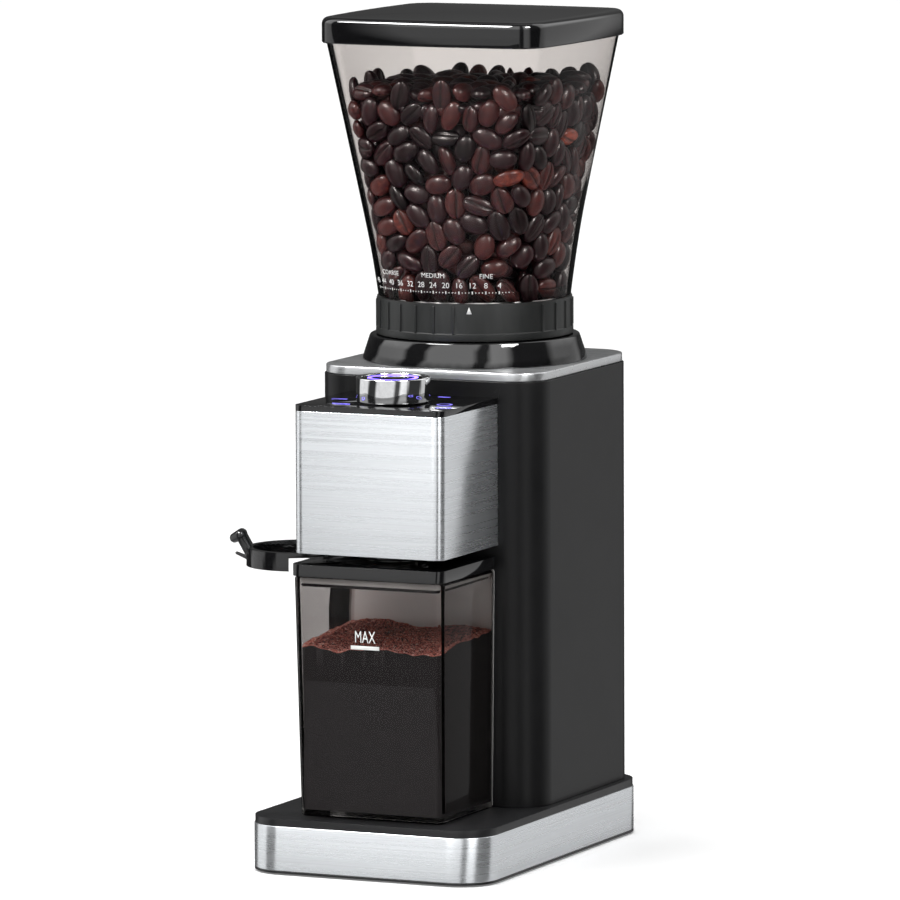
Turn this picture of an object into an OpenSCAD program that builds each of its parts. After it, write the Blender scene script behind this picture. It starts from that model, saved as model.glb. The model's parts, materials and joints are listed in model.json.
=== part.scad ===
// Electric burr coffee grinder, millimetres.
// Origin: on the standing plane, under the middle of the base. Front is -Y, up is +Z.
// The burrs, the spindle and the motor share one vertical axis, the mill axis.

/* [Overall] */
// Height to the top of the hopper lid
total_h = 380; // [376:0.5:384]
// Width of the base
base_w = 118.3; // [116:0.1:121]
// Depth of the base
base_d = 182.6; // [181:0.1:186]
// Corner radius of the base
base_r = 17.8; // [14:0.1:20]

/* [Column] */
// Width of the column
col_w = 110.6; // [110:0.1:112]
// Depth of the column
col_d = 112; // [111:0.1:113]
// Corner radius of the column
col_r = 17; // [14:0.1:19]
// Distance of the mill axis behind the middle of the base
axis_y = 33.4; // [33:0.1:34]
// Wall of the column shell
col_wall = 2.2; // [1.8:0.1:2.4]

/* [Head] */
// Half width of the head
head_hw = 36.7; // [36:0.1:37.5]
// Front face of the head
head_front = -82.7; // [-84:0.1:-82]
// Underside of the head
head_z0 = 144.4; // [144:0.1:145]
// Top edge of the steel wrap on the head
head_z1 = 208.4; // [208:0.1:209]
// Corner radius of the head
head_r = 5; // [4:0.1:6]

/* [Spout and dial] */
// Middle of the spout, along Y
spout_y = -52; // [-53:0.1:-51]
// Middle of the start dial, along Y
dial_y = -54.5; // [-55:0.1:-54]
// Radius of the start dial
dial_r = 16.6; // [16:0.1:17]

/* [Grind ring] */
// Radius of the ribbed grind ring
ring_r = 44.9; // [44.6:0.1:45.2]
// Ribs on the grind ring
rib_count = 26; // [22:1:28]

/* [Hopper] */
// Half width of the hopper at its rim
rim_half = 55.2; // [54.6:0.1:55.4]
// Half width of the hopper lid
lid_half = 56.6; // [56.5:0.1:57]
// Radius of the round foot of the hopper
foot_r = 43.8; // [43:0.1:44]
// Wall of the hopper
hopper_wall = 2.2; // [1.8:0.1:2.4]

/* [Grounds bin] */
// Half width of the bin at its rim
bin_half = 36.8; // [36:0.1:37]
// Draft of each side of the bin
bin_draft = 1.4; // [0.5:0.1:2]
// Wall of the bin
bin_wall = 2.2; // [1.8:0.1:2.4]

/* [Gears] */
// Gear module
gear_m = 1; // [1:1:1]
// Teeth on the small gears
small_teeth = 14; // [14:1:14]
// Teeth on the large gears
large_teeth = 42; // [42:1:42]

/* [Hidden] */
$fn = 64;
eps = 0.01;

// Heights of the base stack
foot_h = 2.6;
plate_z = 0.8;
band_z0 = 1.8;
band_z1 = 22;
deck_z = 25.3;
band_t = 1.2;

// Column and top plate
col_y0 = axis_y - col_d / 2;
col_y1 = axis_y + col_d / 2;
col_z1 = 218;
plate_top = 222.1;
cover_hw = 38;
cover_z0 = 34;
cover_z1 = 206;
gland_z = 44;

// Head
wrap_t = 1;
panel_z1 = 211;
head_d = col_y0 - head_front;
floor_z0 = head_z0 + 0.3;
floor_z1 = 147.4;
board_z = 200;

// Mill, from the chamber up
chamber_r = 27;
chamber_z0 = 181;
step_z = 197;
sleeve_r = 34;
sleeve_or = 37;
sleeve_z1 = 251;
carrier_r = sleeve_r - 0.05;
ring_z0 = 234;
ring_z1 = 250.8;
outlet_hw = 9;
lug_angles = [30, 150, 270];
smooth_from = 12;
smooth_to = 68;

// Gear train: idler beside the mill axis
gear_c = gear_m * (small_teeth + large_teeth) / 2;
idler_dir = 135;
idler_x = gear_c * cos(idler_dir);
idler_dy = gear_c * sin(idler_dir);
out_z = 151;
drive_z = 141;
gear_t = 7;

// Motor
motor_r = 27;
motor_z0 = 62;
motor_z1 = 136;

// Hopper and lid
hopper_z0 = 251.4;
hopper_z1 = 371.8;
lid_z0 = 367.5;
side_bow_r = 500;
rim_corner = 11;
lid_corner = 13;

// Bin
bin_z0 = 25.6;
bin_z1 = 134;
bin_front = -83.6;
bin_back = -23.9;
bin_r = 4;
bin_lid_z1 = 139.8;

// Portafilter holder
cradle_x = -47.5;
cradle_r = 24.5;
cradle_t = 3;
holder_z0 = 141.5;
holder_z1 = 143.2;
deep_from = 48.3;

// ---------- shared shapes ----------

// Rectangle with true round corners, centred.
module rounded(w, d, r) {
  square([w - 2 * r, d], center = true);
  square([w, d - 2 * r], center = true);
  for (x = [-1, 1], y = [-1, 1])
    translate([x * (w / 2 - r), y * (d / 2 - r)]) circle(r);
}

// Upright block with round corners, centred on (0, y).
module block(w, d, r, y, z0, z1) {
  translate([0, y, z0]) linear_extrude(z1 - z0) rounded(w, d, r);
}

// Box from its low and high corners.
module box(low, high) {
  translate(low) cube(high - low);
}

module at_mill() {
  translate([0, axis_y, 0]) children();
}

// Ring with straight walls on the local Z axis.
module tube(ro, ri, z0, z1) {
  translate([0, 0, z0]) difference() {
    cylinder(r = ro, h = z1 - z0);
    translate([0, 0, -1]) cylinder(r = ri, h = z1 - z0 + 2);
  }
}

// Pan head screw with its head up, the shank below the origin.
module screw(r, l) {
  translate([0, 0, -l]) cylinder(r = r, h = l);
  difference() {
    cylinder(r = 1.8 * r, h = 1.1 * r);
    translate([0, 0, 0.5 * r]) cylinder(r = 0.8 * r, h = 2 * r, $fn = 6);
  }
}

// Involute of the base circle, as an angle in degrees.
function inv_deg(a) = tan(a) * 180 / PI - a;

// Flank point of a tooth: half angle at a radius.
function flank(n, m, rad) =
  let (rb = n * m * cos(20) / 2, back = 0.06)
  90 / n - back * 360 / (PI * n * m) + inv_deg(20) - inv_deg(rad <= rb ? 0 : acos(rb / rad));

// Outline of a spur gear with a tooth centred on the X axis.
function gear_points(n, m) =
  let (rp = n * m / 2, root = rp - 1.15 * m, tip = rp + 0.8 * m,
       radii = [root, max(root + 0.1, n * m * cos(20) / 2), rp - 0.3 * m, rp, rp + 0.4 * m, tip])
  [for (i = [0 : n - 1], s = [-1, 1], k = [0 : 5])
    let (j = s < 0 ? k : 5 - k, a = 360 * i / n + s * flank(n, m, radii[j]))
    radii[j] * [cos(a), sin(a)]];

module gear(n, m, t) {
  linear_extrude(t) polygon(gear_points(n, m));
}

// Polar radius of a square with bowed sides and round corners.
function fold45(a) = let (b = a - 90 * floor(a / 90)) b > 45 ? 90 - b : b;
function corner_c(h, rb, rc) =
  let (p = rb - h, q = rb - rc) (-p + sqrt(2 * q * q - p * p)) / 2;
function square_r(a, h, rb, rc) =
  let (f = fold45(a), c = corner_c(h, rb, rc), t = atan2(c, c - h + rb),
       tx = h - rb + rb * cos(t), ty = rb * sin(t))
  f <= atan2(ty, tx)
    ? (h - rb) * cos(f) + sqrt(rb * rb - pow((h - rb) * sin(f), 2))
    : c * (cos(f) + sin(f)) + sqrt(rc * rc - pow(c * (sin(f) - cos(f)), 2));

// Directions of the loft's points, closer together at the corners.
loft_angles = [for (q = [0 : 90 : 270])
  each [for (a = [for (b = [0 : 6 : 30]) b, for (b = [33 : 2 : 57]) b, for (b = [60 : 6 : 84]) b]) q + a]];
loft_n = len(loft_angles);

function ring_of(z, radii) = [for (i = [0 : loft_n - 1])
  [radii[i] * cos(loft_angles[i]), radii[i] * sin(loft_angles[i]), z]];

// Radii of the hopper wall at a height share from 0 (round foot) to 1 (square rim).
function hopper_radii(share, inset) = [for (a = loft_angles)
  (1 - share) * foot_r + share * square_r(a, rim_half, side_bow_r, rim_corner) - inset];
function square_radii(h, corner) = [for (a = loft_angles) square_r(a, h, side_bow_r, corner)];

// Closed skin through a list of rings; the last ring joins the first when hollow is true.
module loft(rings, hollow = false) {
  k = len(rings);
  sides = [for (r = [0 : (hollow ? k - 1 : k - 2)], i = [0 : loft_n - 1])
    let (a = r * loft_n, b = ((r + 1) % k) * loft_n, j = (i + 1) % loft_n)
    each [[a + i, b + i, b + j], [a + i, b + j, a + j]]];
  caps = hollow ? [] : [[for (i = [0 : loft_n - 1]) i],
    [for (i = [loft_n - 1 : -1 : 0]) (k - 1) * loft_n + i]];
  polyhedron([for (r = rings) each r], concat(sides, caps));
}

// ---------- base ----------

module rubber_feet() {
  color("#202020") for (x = [-44, 44], y = [-74, 74])
    translate([x, y, 0]) cylinder(r = 7, h = foot_h);
}

module base_screw_places() {
  for (x = [-47, 47], y = [-50, 50]) translate([x, y, plate_z]) children();
}

module base_plate() {
  color("#1b1b1b") difference() {
    union() {
      block(base_w, base_d, base_r, 0, plate_z, band_z0);
      block(base_w - 2 * band_t - 0.2, base_d - 2 * band_t - 0.2, base_r - band_t, 0, band_z0, 3.4);
    }
    for (x = [-44, 44], y = [-74, 74]) translate([x, y, -1]) cylinder(r = 7, h = foot_h + 1);
    base_screw_places() translate([0, 0, -1]) {
      cylinder(r = 3.4, h = 2.6);
      cylinder(r = 1.7, h = 9);
    }
    for (i = [-4 : 4]) box([i * 7 - 1.2, -20, 0], [i * 7 + 1.2, 20, 9]);
  }
}

module base_screws() {
  color("silver") base_screw_places() {
    translate([0, 0, 0.2]) cylinder(r = 3, h = 1.4);
    translate([0, 0, 1.6]) cylinder(r = 1.5, h = 10);
  }
}

module base_band() {
  color("#c4c7c9") difference() {
    block(base_w, base_d, base_r, 0, band_z0, band_z1);
    block(base_w - 2 * band_t, base_d - 2 * band_t, base_r - band_t, 0, band_z0 - 1, band_z1 + 1);
  }
}

module base_deck() {
  inner = band_t + 2.2;
  color("#161616") difference() {
    union() {
      block(base_w - 0.8, base_d - 0.8, base_r - 0.4, 0, band_z1, deck_z);
      difference() {
        block(base_w - 2 * band_t, base_d - 2 * band_t, base_r - band_t, 0, 3.4, band_z1);
        block(base_w - 2 * inner, base_d - 2 * inner, base_r - inner, 0, 3, band_z1 + eps);
      }
      base_screw_places() translate([0, 0, 2.6]) cylinder(r = 4, h = 20);
    }
    base_screw_places() cylinder(r = 1.5, h = 12);
    box([-30, 40, 20], [30, 80, 30]);
  }
}

// ---------- column ----------

module column_shell() {
  wi = col_w - 2 * col_wall;
  di = col_d - 2 * col_wall;
  color("#2b2b2b") difference() {
    block(col_w, col_d, col_r, axis_y, deck_z, col_z1);
    block(wi, di, col_r - col_wall, axis_y, deck_z - 1, col_z1 + 1);
    box([-cover_hw, col_y1 - 6, cover_z0], [cover_hw, col_y1 + 1, cover_z1]);
    box([-15, col_y0 - 1, 176], [15, col_y0 + 5, 200]);
    for (x = [-24, 24], z = [156, 196])
      translate([x, col_y0 - 1, z]) rotate([-90, 0, 0]) cylinder(r = 1.8, h = 6);
  }
  color("#2b2b2b") for (x = [-1, 1], z = [cover_z0 + 8, cover_z1 - 8])
    translate([x * (cover_hw + 2), col_y1 - col_wall, z]) difference() {
      box([-3.5, -5, -5], [3.5, 0, 5]);
      translate([-x * 6, 1, 0]) rotate([90, 0, 0]) cylinder(r = 1.3, h = 9);
    }
}

module rear_cover() {
  color("#2b2b2b") difference() {
    box([-cover_hw + 0.1, col_y1 - col_wall, cover_z0 + 0.1], [cover_hw - 0.1, col_y1, cover_z1 - 0.1]);
    for (i = [0 : 11]) box([-24, col_y1 - 4, 112 + 6 * i], [24, col_y1 + 1, 114.6 + 6 * i]);
    translate([0, col_y1 + 1, gland_z + 6]) rotate([90, 0, 0]) cylinder(r = 6, h = 6);
    for (x = [-33, 33], z = [cover_z0 + 8, cover_z1 - 8])
      translate([x, col_y1 + 1, z]) rotate([90, 0, 0]) cylinder(r = 1.6, h = 6);
  }
}

module rear_screws() {
  color("#3a3a3a") for (x = [-33, 33], z = [cover_z0 + 8, cover_z1 - 8])
    translate([x, col_y1, z]) rotate([-90, 0, 0]) screw(1.5, 5);
}

// Gland that a mains lead would pass through.
module cord_inlet() {
  color("#1a1a1a") translate([0, col_y1, gland_z + 6]) rotate([-90, 0, 0]) difference() {
    union() {
      translate([0, 0, -6]) cylinder(r = 5.9, h = 6);
      cylinder(r = 8, h = 1.4);
      translate([0, 0, -6]) cylinder(r = 7.5, h = 3.6);
    }
    translate([0, 0, -9]) cylinder(r = 3.5, h = 20);
  }
}

module top_plate() {
  color("#b8babc") difference() {
    block(col_w - 1.4, col_d - 1.4, col_r - 0.7, axis_y, col_z1, plate_top);
    at_mill() translate([0, 0, col_z1 - 1]) cylinder(r = 45, h = 9);
  }
}

// ---------- head ----------

module head_outline(t, back) {
  d = head_d - t + back;
  translate([0, head_front + t + d / 2]) rounded(2 * (head_hw - t), d, max(head_r - t, 1));
}

module head_wrap() {
  color("#d0d3d5") difference() {
    translate([0, 0, head_z0]) linear_extrude(head_z1 - head_z0) difference() {
      head_outline(0, 8);
      head_outline(wrap_t, 20);
    }
    box([-50, col_y0, head_z0 - 1], [50, 0, head_z1 + 1]);
  }
}

// Black moulding inside the steel wrap, with the floor that the spout passes.
module head_body() {
  color("#181818") difference() {
    translate([0, 0, floor_z0]) linear_extrude(head_z1 - floor_z0) head_outline(wrap_t, 8);
    translate([0, 0, floor_z1]) linear_extrude(80) head_outline(wrap_t + 2, -3);
    box([-50, col_y0, 100], [50, 0, 300]);
    box([-14.5, col_y0 - 9, 176], [14.5, 0, 200]);
    translate([0, spout_y, 140]) cylinder(r = 13.55, h = 20);
    for (x = [-24, 24], z = [156, 196])
      translate([x, col_y0 - 9, z]) rotate([-90, 0, 0]) cylinder(r = 1.6, h = 20);
  }
}

module head_panel() {
  color("#0c0c0e") difference() {
    translate([0, 0, head_z1]) linear_extrude(panel_z1 - head_z1) head_outline(0, 8);
    box([-50, col_y0, 200], [50, 0, 220]);
    translate([0, dial_y, 200]) cylinder(r = 8.6, h = 20);
  }
}

module head_screws() {
  color("silver") for (x = [-24, 24], z = [156, 196])
    translate([x, col_y0 + col_wall, z]) rotate([-90, 0, 0]) screw(1.5, 4);
}

// Board under the panel, with the start switch soldered on its middle.
module display_board() {
  color("#444444") translate([0, dial_y, board_z + 1.6]) {
    box([-3, -3, 0], [3, 3, 1.4]);
    translate([0, 0, 1.4]) cylinder(r = 1.5, h = 0.4);
  }
  color("#1d5a34") difference() {
    union() {
      box([-32, -78, board_z], [32, -30, board_z + 1.6]);
      for (x = [-24, 24]) box([x - 5, -58, board_z + 1.6], [x + 5, -48, board_z + 6.5]);
      box([-12, -40, board_z - 3], [12, -33, board_z]);
    }
    for (x = [-29, 29], y = [-75, -33]) translate([x, y, board_z - 1]) cylinder(r = 1.4, h = 5);
  }
}

// ---------- start dial ----------

module dial_ring() {
  color("#e6e6e8") translate([0, dial_y, 0]) tube(dial_r, 14.2, panel_z1 + 0.5, 222.4);
}

module dial_hub() {
  color("#222222") translate([0, dial_y, 0]) {
    tube(14.2, 6, panel_z1 + 0.5, panel_z1 + 2.5);
    tube(8.3, 6, 203.5, panel_z1 + 0.5);
  }
}

module start_button() {
  color("#0d0d10") translate([0, dial_y, 0]) {
    difference() {
      union() {
        translate([0, 0, 217]) cylinder(r = 13.9, h = 5);
        translate([0, 0, 204.7]) cylinder(r = 4, h = 12.3);
      }
      tube(11.4, 9.6, 221.4, 224);
    }
  }
}

module button_light_ring() {
  color("#3a3af0") translate([0, dial_y, 0]) tube(11.4, 9.6, 221.4, 222.05);
}

// ---------- grind adjuster and mill ----------

module collar_skirt() {
  color("#141414") at_mill() rotate_extrude() polygon([
    [51.3, plate_top], [47.6, 233.4], [sleeve_or + 0.05, 233.4], [sleeve_or + 0.05, 231.2],
    [45.4, 231.2], [48.2, plate_top]]);
}

module grind_ring() {
  color("#3a3d3b") at_mill() {
    rotate_extrude($fn = 90) polygon([
      [39.8, ring_z0], [ring_r, ring_z0], [ring_r, ring_z0 + 3], [ring_r - 0.5, ring_z0 + 3.4],
      [ring_r - 0.5, ring_z1], [42.2, ring_z1], [42.2, 243.6], [sleeve_or + 0.05, 243.6],
      [sleeve_or + 0.05, 240.6], [39.8, 240.6]]);
    for (i = [0 : rib_count - 1])
      rotate(smooth_to - 90 + (360 - smooth_to + smooth_from) * i / (rib_count - 1))
        box([ring_r - 1, -0.5, ring_z0 + 3.2], [ring_r + 0.1, 0.5, ring_z1 - 1.2]);
  }
}

// Grinding chamber, with the bearing seat under it and the outlet in front.
module mill_housing() {
  color("#8d9092") at_mill() difference() {
    union() {
      rotate_extrude() polygon([
        [11.05, 160], [14.6, 160], [14.6, 177], [30, 177], [30, step_z - 3], [sleeve_or, step_z - 3],
        [sleeve_or, step_z], [chamber_r, step_z], [chamber_r, chamber_z0],
        [4.6, chamber_z0], [4.6, 177.1], [11.05, 177.1]]);
      for (a = lug_angles) rotate(a + 60) translate([25, 0, 161.1]) cylinder(r = 4, h = 17);
    }
    translate([-outlet_hw, -chamber_r - 8, 182]) cube([2 * outlet_hw, 20, 12]);
    for (a = lug_angles) rotate(a + 60) translate([25, 0, 150]) cylinder(r = 1.3, h = 24);
  }
}

// Sleeve that the burr carrier slides in; its lugs look out through three slots.
module adjuster_sleeve() {
  color("#8d9092") at_mill() difference() {
    union() {
      tube(sleeve_or, sleeve_r, step_z, sleeve_z1);
      tube(50, sleeve_or - 1, 212, 217.9);
    }
    for (a = lug_angles) rotate(a) box([30, -4, 233], [40, 4, 241.6]);
  }
}

module burr_carrier() {
  color("#6f7274") at_mill() difference() {
    union() {
      rotate_extrude() polygon([
        [24, 199], [carrier_r, 199], [carrier_r, 240], [31.4, 240], [30.4, 232],
        [15.5, 219.5], [15.5, 217], [24, 217]]);
      for (a = lug_angles) rotate(a) box([32.5, -3.8, 235], [39.2, 3.8, 238.6]);
    }
    for (a = lug_angles) rotate(a + 60) translate([21, 0, 216]) cylinder(r = 1.6, h = 20);
  }
}

module ring_burr() {
  color("#9a9c9e") at_mill() difference() {
    rotate_extrude() polygon([[20.2, 199], [24, 199], [24, 217], [15.5, 217], [17, 206]]);
    for (a = [0 : 15 : 345]) rotate(a) translate([15.2, 0, 206]) rotate([0, 0, 45])
      cube([1.9, 1.9, 30], center = true);
    for (a = lug_angles) rotate(a + 60) translate([21, 0, 209]) cylinder(r = 1.2, h = 20);
  }
}

module ring_burr_screws() {
  color("silver") at_mill() for (a = lug_angles) rotate(a + 60) {
    translate([21, 0, 209.5]) cylinder(r = 1.2, h = 14);
    translate([21, 0, 224.6]) cylinder(r = 1.5, h = 1.2);
    translate([21, 0, 219]) cylinder(r = 1.5, h = 6);
  }
}

module cone_burr() {
  color("#8f9193") at_mill() difference() {
    rotate_extrude() polygon([[0, 199.2], [19.2, 199.2], [19.2, 200.4], [15.6, 207], [8.5, 222], [0, 222]]);
    translate([0, 0, 190]) cylinder(r = 4, h = 40);
    for (a = [0 : 45 : 315]) rotate(a) translate([12.9, 0, 216]) rotate([0, -24, 0])
      rotate([0, 0, 45]) cube([3, 3, 22], center = true);
    for (a = [0 : 15 : 345]) rotate(a) translate([19, 0, 202]) rotate([0, -28, 0])
      rotate([0, 0, 45]) cube([1.2, 1.2, 12], center = true);
  }
}

module burr_bolt() {
  color("silver") at_mill() {
    translate([0, 0, 222]) cylinder(r = 6.5, h = 1.6);
    translate([0, 0, 223.6]) cylinder(r = 5.5, h = 4, $fn = 6);
  }
}

module impeller() {
  color("#e8e4da") at_mill() difference() {
    union() {
      translate([0, 0, 182.2]) cylinder(r = 24.5, h = 2);
      translate([0, 0, 182.2]) cylinder(r = 8, h = 17);
      for (a = [0 : 60 : 300]) rotate(a) box([6, -1, 184], [24.5, 1, 191.5]);
    }
    cylinder(r = 4, h = 300);
  }
}

module burr_shaft() {
  color("#b9bbbd") at_mill() translate([0, 0, 150.2]) cylinder(r = 4, h = 71.8);
}

module output_gear() {
  color("#e9e2cc") at_mill() difference() {
    translate([0, 0, out_z]) rotate(idler_dir) gear(large_teeth, gear_m, gear_t);
    translate([0, 0, 100]) cylinder(r = 4, h = 100);
    for (a = [0 : 60 : 300]) rotate(a) translate([12, 0, 100]) cylinder(r = 3.5, h = 100);
  }
}

module spindle_bearings() {
  color("#c9c9c9") at_mill() {
    tube(11, 4.04, 170, 177);
    tube(11, 4.04, 160.4, 167.4);
  }
}

module chamber_seal() {
  color("#5b564c") at_mill() tube(4.55, 4.1, 177.4, 180.8);
}

// ---------- gearbox ----------

module gearbox_outline(grow) {
  hull() {
    circle(24.5 + grow);
    translate([idler_x, idler_dy]) circle(23.5 + grow);
  }
}

module gearbox_case() {
  color("#74777a") at_mill() difference() {
    translate([0, 0, 136]) linear_extrude(22.9) gearbox_outline(4);
    translate([0, 0, 139]) linear_extrude(30) gearbox_outline(0);
    translate([0, 0, 130]) cylinder(r = 6, h = 12);
    translate([idler_x, idler_dy, 137]) cylinder(r = 2.5, h = 12);
    for (a = lug_angles) rotate(a + 60) translate([25, 0, 156.8]) cylinder(r = 2.6, h = 5);
  }
}

module gearbox_cover() {
  color("#74777a") at_mill() difference() {
    translate([0, 0, 158.9]) linear_extrude(2.2) gearbox_outline(4);
    translate([0, 0, 150]) cylinder(r = 14.65, h = 20);
    for (a = lug_angles) rotate(a + 60) translate([25, 0, 150]) cylinder(r = 1.6, h = 24);
    translate([idler_x, idler_dy, 150]) cylinder(r = 2.5, h = 10);
  }
}

module gearbox_screws() {
  color("silver") at_mill() for (a = lug_angles) rotate(a + 60) translate([25, 0, 0]) {
    translate([0, 0, 156.9]) cylinder(r = 2.4, h = 2);
    translate([0, 0, 158.8]) cylinder(r = 1.3, h = 12);
  }
}

// Both wheels of the idler are moulded in one piece.
module idler_gear() {
  tooth = 180 / small_teeth;
  color("#e9e2cc") at_mill() translate([idler_x, idler_dy, 0]) difference() {
    union() {
      translate([0, 0, drive_z + 0.5]) rotate(idler_dir + 180) gear(large_teeth, gear_m, gear_t - 1);
      translate([0, 0, drive_z + gear_t - 0.6]) cylinder(r = 5.6, h = 3);
      translate([0, 0, out_z - 0.7]) rotate(idler_dir + 180 + tooth) gear(small_teeth, gear_m, gear_t + 0.7);
    }
    translate([0, 0, 100]) cylinder(r = 2.55, h = 100);
  }
}

module idler_pin() {
  color("#b9bbbd") at_mill() translate([idler_x, idler_dy, 137]) cylinder(r = 2.5, h = 22.9);
}

// ---------- motor ----------

module motor_can() {
  color("#9fa2a4") at_mill() difference() {
    union() {
      tube(motor_r, motor_r - 1.6, motor_z0, motor_z1);
      translate([0, 0, motor_z1 - 2]) cylinder(r = motor_r, h = 2);
      tube(8.5, 7, motor_z1 - 7, motor_z1 - 2);
    }
    cylinder(r = 5, h = 300);
    for (a = [0 : 60 : 300]) rotate(a) box([motor_r - 4, -3, 70], [motor_r + 2, 3, 84]);
  }
}

module motor_magnets() {
  color("#3c3c3e") at_mill() intersection() {
    tube(motor_r - 1.6, 19, 92, 126);
    union() for (a = [0, 180]) rotate(a + 90) linear_extrude(300) polygon(
      [[0, 0], for (b = [-62 : 31 : 62]) 60 * [cos(b), sin(b)]]);
  }
}

module motor_end_cap() {
  color("#25282b") at_mill() difference() {
    union() {
      translate([0, 0, 56]) cylinder(r = motor_r, h = 6);
      tube(motor_r - 1.7, motor_r - 3.6, 61, 67);
    }
    translate([0, 0, 58.5]) cylinder(r = 7, h = 10);
    translate([0, 0, 50]) cylinder(r = 4, h = 20);
  }
}

module motor_rotor() {
  color("#7d5a3a") at_mill() {
    translate([0, 0, 54]) cylinder(r = 3, h = 94.5);
    translate([0, 0, 92]) for (a = [0 : 45 : 315]) rotate(a) box([2, -3.4, 0], [15.4, 3.4, 34]);
    tube(18.2, 14.6, 92, 126);
    tube(8, 3, 70, 84);
    tube(12, 3, 84, 90);
  }
}

module motor_pinion() {
  color("#d8b25a") at_mill() difference() {
    translate([0, 0, drive_z - 0.4]) rotate(idler_dir + 180 / small_teeth)
      gear(small_teeth, gear_m, gear_t + 0.8);
    translate([0, 0, 100]) cylinder(r = 3, h = 100);
  }
}

module motor_bearings() {
  color("#c9c9c9") at_mill() {
    tube(7, 3.04, motor_z1 - 7, motor_z1 - 2);
    tube(7, 3.04, 58.5, 63.5);
  }
}

module motor_brushes() {
  color("#2f2f31") at_mill() for (a = [0, 180]) rotate(a) box([8.1, -2.5, 73], [20, 2.5, 79]);
}

// Stand under the motor, on the base deck.
module motor_cradle() {
  color("#1f1f1f") at_mill() difference() {
    union() {
      tube(31, 28, deck_z, 60);
      tube(31, 12, 47, 50);
    }
    for (a = [0, 90, 180, 270]) rotate(a) box([20, -9, deck_z - 1], [40, 9, 40]);
  }
}

module motor_cushion() {
  color("#111111") at_mill() {
    tube(27.9, 14, 50, 56);
    tube(27.95, motor_r + 0.05, 56, 60);
  }
}

// ---------- chute and electronics ----------

module chute() {
  color("#d9d5ca") difference() {
    union() {
      box([-outlet_hw - 2, spout_y, 179.6], [outlet_hw + 2, 9, 196.4]);
      translate([0, spout_y, floor_z1]) cylinder(r = 14, h = 196.4 - floor_z1);
    }
    box([-outlet_hw, spout_y, 182], [outlet_hw, 12, 194]);
    translate([0, spout_y, floor_z1 - 1]) cylinder(r = 11.5, h = 194 - floor_z1 + 1);
    at_mill() cylinder(r = 30.02, h = 300);
    at_mill() translate([0, 0, step_z - 3.05]) cylinder(r = sleeve_or + 0.05, h = 10);
  }
}

// Round nozzle under the head; the holder turns on it.
module spout() {
  color("#0f0f0f") translate([0, spout_y, 0]) difference() {
    union() {
      translate([0, 0, 141.2]) cylinder(r = 13.5, h = floor_z1 - 141.2);
      translate([0, 0, 140.1]) cylinder(r = 15.6, h = 1.2);
    }
    translate([0, 0, 130]) cylinder(r = 11.5, h = 40);
  }
}

module power_board() {
  color("#1d5a34") box([-34, 76, 64], [34, 77.6, 128]);
  color("#1d5a34") {
    box([-28, 66, 70], [-12, 76, 88]);
    translate([4, 76, 78]) rotate([90, 0, 0]) cylinder(r = 6, h = 12);
    box([14, 68, 72], [28, 76, 98]);
    box([-26, 70, 100], [-6, 76, 118]);
  }
}

module bin_sensor() {
  color("#30343a") box([-7, col_y0 + col_wall, 56], [7, col_y0 + col_wall + 5, 70]);
}

// Two wires from the board down to the brushes, each a run of three square-cornered rods.
module motor_leads() {
  for (s = [-1, 1]) color(s < 0 ? "firebrick" : "#202020") translate([s * 20, 0, 0]) {
    translate([0, 77.6, 74]) rotate([-90, 0, 0]) cylinder(r = 1, h = 4);
    translate([0, 80.6, 53]) cylinder(r = 1, h = 22);
    translate([0, 62, 54]) rotate([-90, 0, 0]) cylinder(r = 1, h = 19.6);
  }
}

// ---------- hopper ----------

module hopper() {
  steps = 8;
  inside = hopper_wall;
  span = hopper_z1 - hopper_z0;
  color("#9a8f88", 0.4) at_mill() loft(hollow = true, rings = concat(
    [for (i = [0 : steps]) ring_of(hopper_z0 + span * i / steps, hopper_radii(i / steps, 0))],
    [for (i = [steps : -1 : 0]) ring_of(hopper_z0 + span * i / steps, hopper_radii(i / steps, inside))]));
}

// Floor and neck of the hopper; the neck drops into the mill's sleeve.
module hopper_base() {
  edge = foot_r - hopper_wall - 0.1;
  color("#8a807a") at_mill() rotate_extrude() polygon([
    [30.4, 243.2], [33.5, 243.2], [33.5, 251.4], [edge, 251.4], [edge, 256], [31.6, 253.4]]);
}

module hopper_lid() {
  inner = rim_half + 0.2;
  plug_z = lid_z0 + 0.1;
  color("#151516") at_mill() {
    loft([for (p = [[372, 0], [376.4, 0], [378.2, 0.7], [379, 2.2], [379.5, 5], [total_h, 20]])
      ring_of(p[0], square_radii(lid_half - p[1], max(lid_corner - p[1], 6)))]);
    loft(hollow = true, rings = [
      ring_of(lid_z0, square_radii(lid_half, lid_corner)),
      ring_of(372 + eps, square_radii(lid_half, lid_corner)),
      ring_of(372 + eps, square_radii(inner, rim_corner)),
      ring_of(lid_z0, square_radii(inner, rim_corner))]);
    loft(hollow = true, rings = [
      ring_of(plug_z, square_radii(rim_half - hopper_wall - 1.6, rim_corner - 3)),
      ring_of(372 + eps, square_radii(rim_half - hopper_wall - 1.6, rim_corner - 3)),
      ring_of(372 + eps, square_radii(rim_half - hopper_wall - 3.2, rim_corner - 4)),
      ring_of(plug_z, square_radii(rim_half - hopper_wall - 3.6, rim_corner - 4))]);
  }
}

module lid_seal() {
  outer = rim_half - hopper_wall - 0.8;
  color("#d8d8d6") at_mill() loft(hollow = true, rings = [
    ring_of(368, square_radii(outer, rim_corner - 2)),
    ring_of(370.4, square_radii(outer, rim_corner - 2)),
    ring_of(370.4, square_radii(outer - 0.7, rim_corner - 3)),
    ring_of(368, square_radii(outer - 0.7, rim_corner - 3))]);
}

// ---------- grounds bin ----------

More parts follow.
